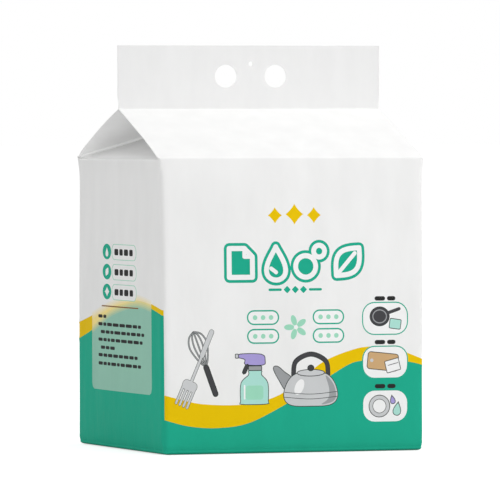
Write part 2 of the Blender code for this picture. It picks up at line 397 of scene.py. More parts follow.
def settled(point):
    """The point after the fold along the top of each side has sunk and swelled outwards."""
    side = smooth((abs(point.x) - HALF_WIDTH + 2 * CORNER_RADIUS) / (2 * CORNER_RADIUS))
    away = point.z - SHOULDER_HEIGHT
    rearward = min(max(0.5 + point.y / SHOULDER_HALF_DEPTH / 2, 0.0), 1.0)
    sink = part_way(*SIDE_SINKS, rearward)
    sink *= smooth((SHOULDER_HALF_DEPTH - abs(point.y)) / SIDE_SINK_FADE)
    sink *= math.exp(-(away / SIDE_SINK_REACH) ** 2)
    swell = part_way(*SIDE_SWELLS, rearward) * math.exp(-(away / SIDE_SWELL_REACH) ** 2) * side
    return Vector((point.x + math.copysign(swell, point.x), point.y, point.z - sink * side))


# The print, laid out in millimetres from a panel's middle line and from the base

FRONT_END = (FLAT_FRONT + HALF_CORNER) / MM
SIDE_END = (FLAT_SIDE + HALF_CORNER) / MM
PRINT_LOW = TUBE_LOW / MM

FRONT_WAVE_TOP = (
    (-FRONT_END, 46.4), (-92, 42.2), (-77, 39.2), (-51.5, 38.1), (-28, 40.4), (-4.4, 50.2),
    (22.8, 70.4), (50.7, 80.6), (68, 82.2), (84, 80.6), (FRONT_END, 71.8))
FRONT_WAVE_LOW = (
    (-FRONT_END, 27.2), (-88.5, 22.1), (-65, 20.4), (-39.7, 23.7), (-12, 36.0), (15, 51.2),
    (43.7, 67.8), (58, 71.4), (76, 72), (95, 70.1), (FRONT_END, 67.2))
SIDE_WAVE_TOP = (
    (-SIDE_END, 97.2), (-66, 103.7), (-20, 113.6), (22, 119.6), (46, 120), (71, 117.1),
    (SIDE_END, 112.4))
SIDE_WAVE_LOW = (
    (-SIDE_END, 84.0), (-66, 92.2), (-20, 106.6), (22, 114.0), (46, 115.6), (71, 113.4),
    (SIDE_END, 108.2))
RIGHT_WAVE_TOP = ((-SIDE_END, 71.8), (-50, 65.5), (0, 52), (50, 44.4), (SIDE_END, 46.4))
RIGHT_WAVE_LOW = ((-SIDE_END, 67.2), (-50, 58), (0, 38.5), (50, 26.6), (SIDE_END, 27.2))
BACK_WAVE_TOP = (
    (-FRONT_END, 46.4), (-70, 48.4), (-25, 58), (25, 77.6), (70, 92), (FRONT_END, 97.2))
BACK_WAVE_LOW = ((-FRONT_END, 27.2), (-70, 31), (-25, 43), (25, 65), (70, 79.4), (FRONT_END, 84.0))
OVERHANG = 6.0  # how far the waves run past a panel's edges before they are trimmed

WHISK_PLACE = (-66.5, 47, 20)  # end of the handle, and its tilt
FORK_PLACE = (-92, 44, -24)  # middle of the prongs, and its tilt
INFO_PANEL = (-65.5, 74.0, 45.6, 5.0)  # left, right, bottom and corner radius
FADE_STEPS = 5
FADE_WIDTH = 5.5  # of the band's soft edges inside that panel
INFO_ROWS = ((104.0, -48, -24), (97.8, -48, 56), (91.7, -42, 60), (85.5, -48, 55),
             (79.3, -42, -2), (73.2, -48, 42), (66.6, -48, 54))  # height, start and end
SIGN_REACH = 28.0  # of the round signs, from the panel's middle line
TITLE_STROKE = 4.0
TITLE_EDGE = 2.3
OPEN_STROKE = 0.8  # width of the title's open strokes, as a share of the others
LINE_WIDTH = 0.6  # of the dark line round a drawn shape


def curve(points, closed=False, spacing=1.4):
    """A smooth line through the points."""
    count = len(points)
    line = []
    for i in range(count if closed else count - 1):
        around = [k % count if closed else min(max(k, 0), count - 1) for k in range(i - 1, i + 3)]
        a, b, c, d = (Vector(points[k]) for k in around)
        steps = max(2, round((c - b).length / spacing))
        for k in range(steps):
            t = k / steps
            line.append(0.5 * (2 * b + (c - a) * t + (2 * a - 5 * b + 4 * c - d) * t ** 2
                               + (3 * b - a - 3 * c + d) * t ** 3))
    return line if closed else line + [Vector(points[-1])]


def turned(outline, x, z, tilt=0.0):
    """An outline turned by tilt degrees and moved to x, z."""
    turn = Matrix.Rotation(math.radians(tilt), 2)
    return [turn @ Vector(p) + Vector((x, z)) for p in outline]


def full_turn(count):
    """The angles of a full turn in equal steps."""
    return [math.tau * i / count for i in range(count)]


def disc(x, z, across, up=None, tilt=0.0):
    """A round or oval spot from its half sizes."""
    up = across if up is None else up
    angles = full_turn(max(12, round(14 * math.sqrt(max(across, up)))))
    return turned([(across * math.cos(a), up * math.sin(a)) for a in angles], x, z, tilt)


def box(x, z, width, height, radius, tilt=0.0):
    """A box with round corners, from its middle."""
    outline = []
    for corner, (sx, sz) in enumerate(((1, 1), (-1, 1), (-1, -1), (1, -1))):
        for k in range(7):
            angle = math.radians(90 * corner + 15 * k)
            outline.append((sx * (width / 2 - radius) + radius * math.cos(angle),
                            sz * (height / 2 - radius) + radius * math.sin(angle)))
    return turned(outline, x, z, tilt)


def ribbon(line, width):
    """A stroke of even width with round ends, along a line."""
    line = [Vector(p) for p in line]
    half = width / 2
    left, right = [], []
    for i, point in enumerate(line):
        along = (line[min(i + 1, len(line) - 1)] - line[max(i - 1, 0)]).normalized()
        across = Vector((-along.y, along.x)) * half
        left.append(point + across)
        right.append(point - across)
    outline = []
    for side, at in ((left, -1), (right[::-1], 0)):
        start = side[-1] - line[at]
        turns = [Matrix.Rotation(-math.pi * k / 6, 2) for k in range(1, 6)]
        outline += side + [line[at] + turn @ start for turn in turns]
    return outline


def bar(start, end, width):
    """A straight stroke with round ends."""
    return ribbon([start, end], width)


def sides(outline):
    """The pairs of neighbours round an outline."""
    return zip(outline, outline[1:] + outline[:1])


def apart(point, outline):
    """How far a point is from the nearest side of an outline."""
    nearest = math.inf
    for a, b in sides(outline):
        along = b - a
        share = min(max((point - a).dot(along) / max(along.length_squared, 1e-9), 0), 1)
        nearest = min(nearest, (point - a - along * share).length)
    return nearest


def offset(outline, distance):
    """The outline moved outwards, without the loops that sharp corners would leave."""
    outline = counter_clockwise([Vector(p) for p in outline])
    count = len(outline)
    moved = []
    for i, point in enumerate(outline):
        before = (point - outline[i - 1]).normalized()
        after = (outline[(i + 1) % count] - point).normalized()
        out = Vector((before.y + after.y, -before.x - after.x)).normalized()
        moved.append(point + out * distance / max(out.dot(Vector((after.y, -after.x))), 0.5))
    return [point for point in moved if apart(point, outline) > 0.9 * abs(distance)]


def counter_clockwise(outline):
    """The outline, turned round where it runs clockwise."""
    area = sum(a.x * b.y - b.x * a.y for a, b in sides(outline))
    return outline if area > 0 else outline[::-1]


def drop(x, z, size, tilt=0.0):
    """A drop of water with its point up."""
    outline = [(0.86 * size * math.sin(a) * abs(math.sin(a / 2)) ** 1.4, size * math.cos(a))
               for a in full_turn(28)]
    return turned(outline[::-1], x, z - 0.1 * size, tilt)


def sparkle(x, z, size):
    """A four-pointed star with hollow sides."""
    def bent(value):
        return math.copysign(abs(value) ** 2.4, value)

    return turned([(size * 0.92 * bent(math.cos(a)), size * bent(math.sin(a)))
                   for a in full_turn(32)], x, z)


def leaf(x, z, length, width, tilt=0.0):
    """A leaf with two pointed ends."""
    side = [(width / 2 * math.sin(math.pi * k / 12), length * (k / 12 - 0.5)) for k in range(12)]
    return turned(side + [(-px, -pz) for px, pz in side], x, z, tilt)


class Print:
    """The inked shapes of one panel, in the order in which they are laid on each other."""

    def __init__(self, panel):
        self.panel = panel
        self.shapes = []

    def lay(self, ink, *outlines):
        self.shapes += [(ink, outline) for outline in outlines]

    def edged_box(self, x, z, width, height, radius, edge):
        """A white box with a green edge round it."""
        self.lay("green", box(x, z, width + 2 * edge, height + 2 * edge, radius + edge))
        self.lay("white", box(x, z, width, height, radius))

    def line_drawn(self, ink, outline, width=LINE_WIDTH):
        """A filled shape with a thin dark line on its edge."""
        self.lay("line", offset(outline, width / 2))
        self.lay(ink, offset(outline, -width / 2))

    def rounded(self, ink, *points):
        """The same, with smooth sides through its points."""
        self.line_drawn(ink, curve(points, True))

    def stroked(self, ink, line, outer, inner):
        """A stroke with a thin dark line on its edge, from its two widths."""
        self.lay("line", ribbon(line, outer))
        self.lay(ink, ribbon(line, inner))


def wave_fields(panel, top, low):
    """The green field at the bottom, under its yellow band."""
    page = Print(panel)
    for ink, line in (("yellow", top), ("green", low)):
        (start, start_z), (end, end_z) = line[0], line[-1]
        left, right, foot = start - OVERHANG, end + OVERHANG, PRINT_LOW - OVERHANG
        page.lay(ink, curve(line) + [(right, end_z), (right, foot), (left, foot), (left, start_z)])
    return page


def draw_title(page):
    """Four household signs in the title's place, in broad white strokes with a green edge."""
    sheet = [(-54, 137.5), (-54, 160), (-41.5, 160), (-35, 153.5), (-35, 137.5)]
    sheet_fold = [(-41.5, 160), (-41.5, 153.5), (-35, 153.5)]
    water = drop(-15.5, 149.4, 13.0)
    bubbles = [disc(9.2, 145.6, 8.4), disc(20.6, 157.4, 4.6)]
    sprig = leaf(44.6, 149.0, 29, 19, -42)
    vein = [(36.2, 139.6), (50.6, 155.6)]
    closed = [sheet, water, *bubbles, sprig]
    opened = [sheet_fold, [(-19.6, 144.2), (-15.5, 141.2)], vein]
    page.lay("green", *closed)
    for width, ink in ((TITLE_STROKE + 2 * TITLE_EDGE, "green"), (TITLE_STROKE, "white")):
        for outline in closed:
            page.lay(ink, *[bar(a, b, width) for a, b in sides(outline)])
        for line in opened:
            page.lay(ink, *[bar(a, b, width * OPEN_STROKE) for a, b in zip(line, line[1:])])


def draw_front_signs(page):
    """Sparkles over the title, the line under it, and the four pills round a flower."""
    sparkles = ((0.4, 186.4, 8.2), (-15.8, 185.6, 6.4), (16.6, 185.6, 6.4))
    page.lay("yellow", *[sparkle(*place) for place in sparkles])
    page.lay("green", bar((-21, 127.6), (-12, 127.6), 2.0), bar((12.6, 127.6), (21.6, 127.6), 2.0))
    page.lay("green", *[box(x, 127.6, 4.2, 4.2, 0.6, 45) for x in (-6.5, 0.3, 7.1)])
    for x in (-26.7, 27.9):
        for z in (106.0, 91.4):
            page.edged_box(x, z, 24.4, 9.4, 4.6, 1.15)
            page.lay("pale_green", *[disc(x + step, z, 1.9) for step in (-6.6, 0, 6.6)])
    for k in range(5):
        angle = 18 + 72 * k
        middle = Matrix.Rotation(math.radians(angle), 2) @ Vector((0, 5.6))
        page.lay("pale_green", disc(0.6 + middle.x, 98.2 + middle.y, 2.3, 4.3, angle))
    page.lay("white", disc(0.6, 98.2, 1.7))


def draw_whisk_and_fork(page):
    """A wire whisk and a serving fork, crossed."""
    for spread in (-7.4, -3.6, 0, 3.6, 7.4):
        wire = [(0, 22), (spread * 0.55, 29), (spread, 40), (spread * 0.72, 48), (0, 51.5)]
        page.stroked("grey", turned(curve(wire), *WHISK_PLACE), 1.4, 0.7)
    page.stroked("dark_grey", turned([(0, 0), (0, 22)], *WHISK_PLACE), 4.8, 3.6)
    for ink, grow in (("line", 0.35), ("light_grey", 0)):
        page.lay(ink, bar(*turned([(0, 14), (0, 36)], *FORK_PLACE), 2 + 2 * grow))
        page.lay(ink, bar(*turned([(0, 36), (0, 56)], *FORK_PLACE), 3.6 + 2 * grow))
        root = turned([(0, 10.5)], *FORK_PLACE)[0]
        page.lay(ink, box(*root, 12 + 2 * grow, 7.4 + 2 * grow, 3 + grow, FORK_PLACE[2]))
        for x in (-4.9, -1.65, 1.65, 4.9):
            page.lay(ink, bar(*turned([(x, -6), (x, 9)], *FORK_PLACE), 1.7 + 2 * grow))


def draw_spray_bottle(page):
    """A mint spray bottle with a lilac head."""
    page.rounded("mint", (-44.5, 38.5), (-24, 38.5), (-22.6, 41), (-23, 55), (-28.2, 61.5),
                 (-28.6, 65), (-38.6, 65), (-39, 61.5), (-45.4, 55), (-45.8, 41))
    page.lay("pale_green", box(-34.2, 47.6, 15, 11, 2.4))
    page.lay("white", bar((-42.4, 43), (-42.4, 53), 1.3))
    page.line_drawn("grey", box(-33.6, 66.6, 11, 3.6, 0.8))
    page.rounded("lilac", (-41.6, 69.5), (-27, 69), (-25.2, 72.5), (-28, 77.4), (-46, 77.8),
                 (-47.6, 75.2), (-42, 73.4))
    page.rounded("dark_grey", (-41.4, 69.2), (-38.8, 69), (-41.6, 62.6), (-44.2, 63.2))
    page.line_drawn("light_grey", box(-48.6, 76.2, 2.6, 3.2, 0.5))


def draw_kettle(page):
    """A grey kettle with a dark handle over its lid."""
    handle = curve([(-1.5, 60.5), (0.4, 71.4), (13, 77), (25.6, 71.4), (27.5, 60.5)])
    page.stroked("dark_grey", handle, 4.0, 3.0)
    page.rounded("grey", (-7, 48), (-14.4, 58), (-18.5, 66.4), (-15, 68), (-9.2, 63.6), (-3, 58))
    page.rounded("light_grey", (13, 36.2), (29.5, 37.2), (35.6, 43.4), (33.4, 54), (26.4, 61.4),
                 (13, 63.6), (-0.4, 61.4), (-7.4, 54), (-9.6, 43.4), (-3.5, 37.2))
    page.lay("grey", curve([(22, 37.6), (31, 39.4), (34.4, 44), (32, 53.6), (25.6, 60.2),
                            (28.4, 50), (27.6, 42)], True))
    page.lay("white", disc(3.4, 51.4, 3.6, 6.4, -24))
    for z, half in ((47.4, 21.8), (43.6, 22.0)):
        page.lay("line", ribbon(curve([(13 - half, z), (13, z - 1.7), (13 + half, z)]), 0.45))
    page.line_drawn("light_grey", disc(13, 62.4, 11.6, 2.6))
    page.line_drawn("dark_grey", disc(13, 66.2, 2.6, 2.3))


def draw_medallions(page):
    """Three framed pictures of things to wipe, each under a dark bar."""
    places = ((104.2, 119.9), (69.8, 85.6), (35.4, 51.0))
    pan, board, plate = (z for z, _ in places)
    for z, bar_z in places:
        page.edged_box(76, z, 37.4, 24.2, 9.5, 0.9)
        for start, end in ((68.8, 74.4), (79.4, 83.2)):
            page.lay("ink_black", bar((start, bar_z), (end, bar_z), 3.4))
    page.line_drawn("dark_grey", disc(71.4, pan + 1.6, 8.2, 7.4), 0.7)
    page.lay("grey", disc(71.4, pan + 1.6, 6.2, 5.5))
    page.lay("dark_grey", disc(71.4, pan + 1.6, 5.4, 4.7),
             bar((78.8, pan + 4.4), (88, pan + 7.4), 2.6))
    page.line_drawn("mint", box(84.6, pan - 4.4, 9.6, 7.6, 1.0, -8))
    page.line_drawn("tan", box(74, board + 0.6, 26, 13.4, 2.4, -6))
    page.lay("light_grey", disc(64.6, board + 1.6, 1.4))
    page.line_drawn("white", box(82.4, board - 2.6, 12, 9.4, 0.8, 14))
    page.lay("line", bar((78.4, board - 2.6), (87, board - 0.4), 0.5))
    page.line_drawn("light_grey", disc(71, plate, 8.8, 8.6))
    page.line_drawn("white", disc(71, plate, 5.6, 5.4), 0.45)
    page.line_drawn("mint", drop(86.2, plate - 1.6, 5.4, -10))
    page.line_drawn("lilac", drop(82.2, plate + 5.4, 3.4, 12))


def front_print():
    """All that is printed on the front."""
    page = wave_fields("front", FRONT_WAVE_TOP, FRONT_WAVE_LOW)
    for draw in (draw_front_signs, draw_title, draw_whisk_and_fork, draw_spray_bottle,
                 draw_kettle, draw_medallions):
        draw(page)
    return page


def blended(first, second, share):
    """The name of an ink part of the way from one to another."""
    name = f"{first}_{second}_{round(100 * share)}"
    INKS[name] = tuple(part_way(a, b, share) for a, b in zip(INKS[first], INKS[second]))
    return name


def left_print():
    """Three round signs beside pills, and a pale panel with rows of dark bars."""
    page = wave_fields("left", SIDE_WAVE_TOP, SIDE_WAVE_LOW)
    low, high, bottom, corner = INFO_PANEL
    band_top, field_top = ([p for p in curve(line) if low < p.x < high]
                           for line in (SIDE_WAVE_TOP, SIDE_WAVE_LOW))
    cut = corner * 0.3
    foot = [Vector(p) for p in (
        (high, bottom + corner), (high - cut, bottom + cut), (high - corner, bottom),
        (low + corner, bottom), (low + cut, bottom + cut), (low, bottom + corner))]
    for line, inks in ((band_top, ("film", "pale_yellow")),
                       (field_top, ("pale_yellow", "panel_tint"))):
        for step in range(1, FADE_STEPS + 1):
            lift = Vector((0, FADE_WIDTH * (0.5 - (step - 1) / (FADE_STEPS - 1))))
            page.lay(blended(*inks, step / FADE_STEPS), [point + lift for point in line] + foot)
    page.lay("brown", bar((-40.4, 112.3), (44.2, 112.3), 1.0))
    for z, start, end in INFO_ROWS:
        x, length = start, 8.0
        while x + length < end:
            page.lay("ink_black", bar((x, z), (x + length, z), 2.6))
            x += length + 4.2
            length = 8.0 + 4.0 * math.sin(x * 1.7 + z)
    signs = (drop(0, 0, 3.6), leaf(0, 0, 7.6, 4.8, -30), sparkle(0, 0, 4.0))
    for z, sign in zip((155.5, 139.6, 123.8), signs):
        page.lay("green", disc(-SIGN_REACH, z, 10.4, 6.2))
        page.lay("white", [Vector((p.x * 1.5 - SIGN_REACH, p.y + z)) for p in sign])
        page.lay("pale_green", box(12.2, z, 57.0, 12.6, 6.0))
        page.lay("film", box(12.2, z, 55.2, 11.6, 5.6))
        for x, width in ((-5.2, 9.2), (6.0, 8.0), (17.6, 9.6), (29.0, 7.6)):
            page.lay("ink_black", box(x, z, width, 5.0, 1.5))
    return page


PRINTS = (left_print(), front_print(), wave_fields("right", RIGHT_WAVE_TOP, RIGHT_WAVE_LOW),
          wave_fields("back", BACK_WAVE_TOP, BACK_WAVE_LOW))


# The film's mesh: rings of points round the bag, and sheets cut along the print's outlines

UNDERSIDE_INK = "green"


def divided(outline, spacing):
    """The outline with no step longer than the spacing."""
    line = []
    for a, b in sides(outline):
        steps = max(1, math.ceil((b - a).length / spacing))
        line += [a.lerp(b, k / steps) for k in range(steps)]
    return line


def fill_sheet(border, shapes=(), holes=(), extra=(), ink="film"):
    """Triangles inside a border, in millimetres, as points and as pairs of a face and its ink.

    A face has the ink of the last shape that holds it, and faces in a hole are left out.
    """
    spacing = STEP / MM
    cuts = [outline for _, outline in shapes] + list(holes)
    cuts = [counter_clockwise(divided([Vector(p) for p in cut], spacing)) for cut in cuts]
    points, loops = [], []
    for outline in [border] + cuts:
        loops.append(list(range(len(points), len(points) + len(outline))))
        points += outline
    points += extra
    near = kdtree.KDTree(len(points))
    for i, point in enumerate(points):
        near.insert((point.x, point.y, 0), i)
    near.balance()
    (low_x, high_x), (low_y, high_y) = ((min(line), max(line)) for line in zip(*border))
    for i in range(1, int((high_x - low_x) / spacing) + 1):
        for k in range(1, int((high_y - low_y) / spacing) + 1):
            point = Vector((low_x + i * spacing, low_y + k * spacing))
            if near.find((point.x, point.y, 0))[2] > 0.5 * spacing:
                points.append(point)
    found, _, faces, _, _, holders = delaunay_2d_cdt(points, [], loops, 1, 1e-4, True)
    first_hole = 1 + len(shapes)
    inks = [ink] + [name for name, _ in shapes]
    return found, [(face, inks[max(holder)]) for face, holder in zip(faces, holders)
                   if 0 in holder and max(holder) < first_hole]


class Film:
    """All the film's points and faces, each face with its ink."""

    def __init__(self):
        self.points, self.faces, self.inks = [], [], []

    def row(self, points):
        """Adds points and returns their numbers."""
        first = len(self.points)
        self.points += points
        return list(range(first, len(self.points)))

    def face(self, corners, ink):
        self.faces.append(tuple(corners))
        self.inks.append(ink)

    def band(self, lower, upper, ink="film", closed=True):
        """Faces between two rows that run counter-clockwise seen from above.

        The ink is one name, or a list with the ink of each point of a row, in which plain film
        wins over its neighbours.
        """
        count = len(lower)
        inks = [ink] * count if isinstance(ink, str) else ink
        for i in range(count if closed else count - 1):
            k = (i + 1) % count
            own = "film" if "film" in (inks[i], inks[k]) else inks[i]
            self.face((lower[i], lower[k], upper[k], upper[i]), own)

    def sheet(self, place, border, flip=False, **print_and_holes):
        """A filled sheet, put in place by a function of its two coordinates in metres."""
        found, faces = fill_sheet(border, **print_and_holes)
        used = sorted({i for face, _ in faces for i in face})
        places = [place(found[i].x * MM, found[i].y * MM) for i in used]
        numbers = dict(zip(used, self.row(places)))
        for face, ink in faces:
            corners = [numbers[i] for i in face]
            self.face(corners[::-1] if flip else corners, ink)


def steps_between(low, high, fixed=()):
    """Heights from low to high in even steps, with each fixed one in place of its neighbour."""
    count = round((high - low) * MM / STEP)
    heights = [part_way(low, high, share) for share in shares(count)]
    for value in fixed:
        inner = heights[1:-1]
        nearest = min((h for h in inner if h not in fixed), key=lambda h: abs(h - value))
        heights[heights.index(nearest)] = value
    return sorted(heights)


def corner_heights():
    """Heights along a body corner, where the waves of both panels end on points."""
    ends = [wave[end][1] for wave in (FRONT_WAVE_TOP, FRONT_WAVE_LOW, SIDE_WAVE_TOP, SIDE_WAVE_LOW)
            for end in (0, -1)]
    return steps_between(PRINT_LOW, TUBE_HIGH / MM, ends)


def framed(columns, heights):
    """A border, counter-clockwise, from its columns and the heights of its two sides."""
    low, high = heights[0], heights[-1]
    border = [Vector((x, low)) for x in columns]
    border += [Vector((columns[-1], z)) for z in heights[1:-1]]
    border += [Vector((x, high)) for x in reversed(columns)]
    border += [Vector((columns[0], z)) for z in reversed(heights[1:-1])]
    return border


def panel_columns(panel):
    """Where the rings' columns cross a panel, from end to end."""
    end = FRONT_END if panel in ("front", "back") else SIDE_END
    inner = {round(along / MM, 5) for place, along in ring_places() if place == panel}
    inner = [x for x in inner if abs(x) < end - NEAR_END]
    return sorted(inner + [-end, end])


def body_sheets(film):
    """The four filled panels with their print."""
    heights = corner_heights()
    for page in PRINTS:
        border = framed(panel_columns(page.panel), heights)
        film.sheet(lambda x, z: body_point(page.panel, x, z), border, shapes=page.shapes)


def gable_rings(below):
    """The shoulder's rounding, then the leaning panels with the tucked gussets between them."""
    first_lean = SHOULDER_REACH * math.cos(GABLE_SLOPE) / SHOULDER_HALF_DEPTH
    first = gable_ring(first_lean)
    corner = body_ring(SHOULDER_HEIGHT)
    rings = []
    for share in shares(SHOULDER_ROWS)[1:-1]:
        rings.append([(1 - share) ** 2 * a + 2 * share * (1 - share) * b + share ** 2 * c
                      for a, b, c in zip(below, corner, first)])
    rings.append(first)
    for share in shares(GABLE_ROWS)[1:]:
        rings.append(gable_ring(first_lean + (1 - first_lean) * share))
    return rings


def header_point(x, z, side):
    """A point on the header, where side is -1 on its front, 1 on its back and 0 between them."""
    sway = smooth((z - RIDGE_HEIGHT - SWAY_START) / SWAY_REACH) * HEADER_SWAY
    y = sway * noise.noise(Vector((x * SWAY_RATES[0], SWAY_PLACE, z * SWAY_RATES[1])))
    flare = 1 + HEADER_FLARE * smooth((z - RIDGE_HEIGHT - FLARE_START) / FLARE_REACH)
    return Vector((x * flare, y + side * HEADER_THICKNESS / 2, z))


def header_edge(z, end):
    """The half-round edge of the header at one end, without its first and last points."""
    half = HEADER_THICKNESS / 2
    middle = header_point(end * (HALF_WIDTH - half), z, 0)
    turns = [(share - 0.5) * math.pi * end for share in shares(2 * CORNER_COLUMNS)[1:-1]]
    return [middle + Vector((end * half * math.cos(turn), half * math.sin(turn), 0))
            for turn in turns]


def header_holes():
    """The two finger holes and the small hole that the pack hangs by, in millimetres."""
    places = [(side * FINGER_SPACING / 2, FINGER_DROP, FINGER_HOLE) for side in (-1, 1)]
    places.append((0, HANG_DROP, HANG_HOLE))
    return [disc((x + HOLES_SHIFT) / MM, (TOP_HEIGHT - below) / MM, across / 2 / MM)
            for x, below, across in places]


def add_header(film, ridge):
    """The flat header: two faces, rounded ends, a top edge, and the walls of its holes."""
    low = (RIDGE_HEIGHT + HEADER_THICKNESS) / MM
    heights = steps_between(low, TOP_HEIGHT / MM)
    flat = (HALF_WIDTH - HEADER_THICKNESS / 2) / MM
    columns = [flat * share for share in shares(PANEL_COLUMNS)]
    columns = [-x for x in reversed(columns[1:])] + columns
    holes = header_holes()
    border = framed(columns, heights)
    for side in (-1, 1):
        film.sheet(lambda x, z: header_point(x, z, side), border, flip=side > 0, holes=holes,
                   ink="thin_film")

    def level(z):
        """The header's outline at one height, as front, right end, back and left end."""
        front = [header_point(x * MM, z, -1) for x in columns]
        back = [header_point(x * MM, z, 1) for x in reversed(columns)]
        right = [front[-1]] + header_edge(z, 1) + [back[0]]
        left = [back[-1]] + header_edge(z, -1) + [front[0]]
        return front, right, back, left

    levels = [level(z * MM) for z in heights]
    for end in (1, 3):
        rows = [film.row(parts[end]) for parts in levels]
        for lower, upper in zip(rows, rows[1:]):
            film.band(lower, upper, "thin_film", closed=False)
        film.face(rows[-1], "thin_film")
    front, _, back, _ = (film.row(part) for part in levels[-1])
    film.band(front, back[::-1], "thin_film", closed=False)
    for hole in holes:
        hole = divided(counter_clockwise(hole), STEP / MM)
        near, far = (film.row([header_point(p.x * MM, p.y * MM, side) for p in hole])
                     for side in (-1, 1))
        film.band(near, far, "thin_film")
    join_ridge(film, ridge, levels[0])


def join_ridge(film, ridge, outline):
    """Faces from the top edges of the leaning panels up to the header's first row."""
    front, right, back, left = outline
    half = CORNER_COLUMNS
    reach = PANEL_COLUMNS + CORNER_COLUMNS
    quarter = len(ridge) // 4
    for middle, above in ((quarter, left[half:-1] + front + right[1:half + 1]),
                          (3 * quarter, right[half:-1] + back + left[1:half + 1])):
        film.band(ridge[middle - reach:middle + reach + 1], film.row(above), closed=False)


def base_rings():
    """The folded film along the base, and the crease above it."""
    rings = []
    for share in shares(BEAD_ROWS):
        turn = share * math.pi / 2
        inset = FLOOR_INSET - (FLOOR_INSET - BEAD_INSET) * math.sin(turn)
        rings.append(body_ring(BEAD_HEIGHT * (1 - math.cos(turn)), inset))
    rings.append(body_ring(BEAD_HEIGHT + GROOVE_WIDTH / 2, BEAD_INSET + GROOVE_DEPTH))
    rings.append(body_ring(BEAD_HEIGHT + GROOVE_WIDTH, BEAD_INSET))
    rings.append(body_ring(TUBE_LOW))
    return rings


def fold_lines():
    """The lap and the four slanting folds of the underside, as pairs of ends in metres."""
    edge = FLOOR_INSET + FOOT_INSET + FOLD_END
    corner_x = HALF_WIDTH - SIDE_DRAW - edge
    corner_y = HALF_DEPTH - edge
    lines = [(Vector((-corner_x, LAP_OFFSET)), Vector((corner_x, LAP_OFFSET)))]
    for side in (-1, 1):
        for end in (-1, 1):
            tip = Vector((side * (HALF_WIDTH - GUSSET_TUCK), LAP_OFFSET + end * LAP_OFFSET))
            lines.append((Vector((side * corner_x, end * corner_y)), tip))
    return lines


def underside_point(x, y):
    """A point of the underside, with a shallow mark along each fold."""
    place = Vector((x, y))
    nearest = 1.0
    for start, end in fold_lines():
        along = end - start
        share = min(max((place - start).dot(along) / along.length_squared, 0), 1)
        nearest = min(nearest, (place - start - along * share).length)
    return Vector((x, y, FOLD_MARK * smooth(1 - nearest / FOLD_MARK_WIDTH)))


def add_underside(film, ring):
    """The flat bottom inside the base's first ring."""
    border = []
    for point in ring:
        flat = Vector((point.x, point.y)) / MM
        if not border or (flat - border[-1]).length > NEAR_POINT:
            border.append(flat)
    extra = []
    for start, end in fold_lines():
        along = (end - start).normalized()
        across = Vector((-along.y, along.x))
        steps = round((end - start).length / STEP)
        for k in range(1, steps):
            for side in (-1, -0.4, 0, 0.4, 1):
                extra.append((start.lerp(end, k / steps) + across * side * FOLD_MARK_WIDTH) / MM)
    film.sheet(underside_point, border, flip=True, extra=extra, ink=UNDERSIDE_INK)


def gable_inks():
    """The ink at each point of a gable ring: thin film in the gussets, and a paler ink along each
    crease that paints a highlight there.
    """
    near = len(NEAR_CREASE)
    quarter = ["film"] * (PANEL_COLUMNS + CORNER_COLUMNS) + ["thin_film"] * (FLANK_COLUMNS - near)
    # the crease's columns get the paler ink, a painted highlight along the crease
    quarter += ["creased_film"] * (2 * near + 1) + ["thin_film"] * (HOLLOW_COLUMNS - near)
    return [ink for ink, _, _ in full_ring(quarter, quarter)]


def whole_film():
    """All sheets and rings, from the underside to the header."""
    film = Film()
    base = base_rings()
    add_underside(film, base[0])
    body_sheets(film)
    top = body_ring(TUBE_HIGH)
    gable = [top] + gable_rings(top)
    for rings, inks in ((base, UNDERSIDE_INK), (gable[:SHOULDER_ROWS + 1], "film"),
                        (gable[SHOULDER_ROWS:], gable_inks())):
        rows = [film.row(ring) for ring in rings]
        for lower, upper in zip(rows, rows[1:]):
            film.band(lower, upper, inks)
    add_header(film, rows[-1])
    return film


# Looks

def valued(target, values):
    """The node, with its inputs set by name."""
    for name, value in values.items():
        target.inputs[name].default_value = value
    return target


def node(tree, kind, values=None, **settings):
    """A new shader node with its settings and its inputs' values."""
    new = tree.nodes.new("ShaderNode" + kind)
    for name, value in settings.items():
        setattr(new, name, value)
    return valued(new, values or {})


def noise_value(tree, place, scale):
    """Noise at a place that the material's mapping has drawn out."""
    texture = node(tree, "TexNoise", {"Scale": scale, "Detail": NOISE_DETAIL})
    tree.links.new(place.outputs["Vector"], texture.inputs["Vector"])
    return texture.outputs["Fac"]


def ranged(tree, value, low, high):
    """A noise value, spread between two numbers."""
    spread = node(tree, "MapRange", {"From Min": NOISE_SPAN[0], "From Max": NOISE_SPAN[1],
                                     "To Min": low, "To Max": high})
    tree.links.new(value, spread.inputs["Value"])
    return spread.outputs["Result"]


def new_material(name):
    """A material, its node tree and its shader."""
    material = bpy.data.materials.new(name)
    material.use_nodes = True
    return material, material.node_tree, material.node_tree.nodes["Principled BSDF"]


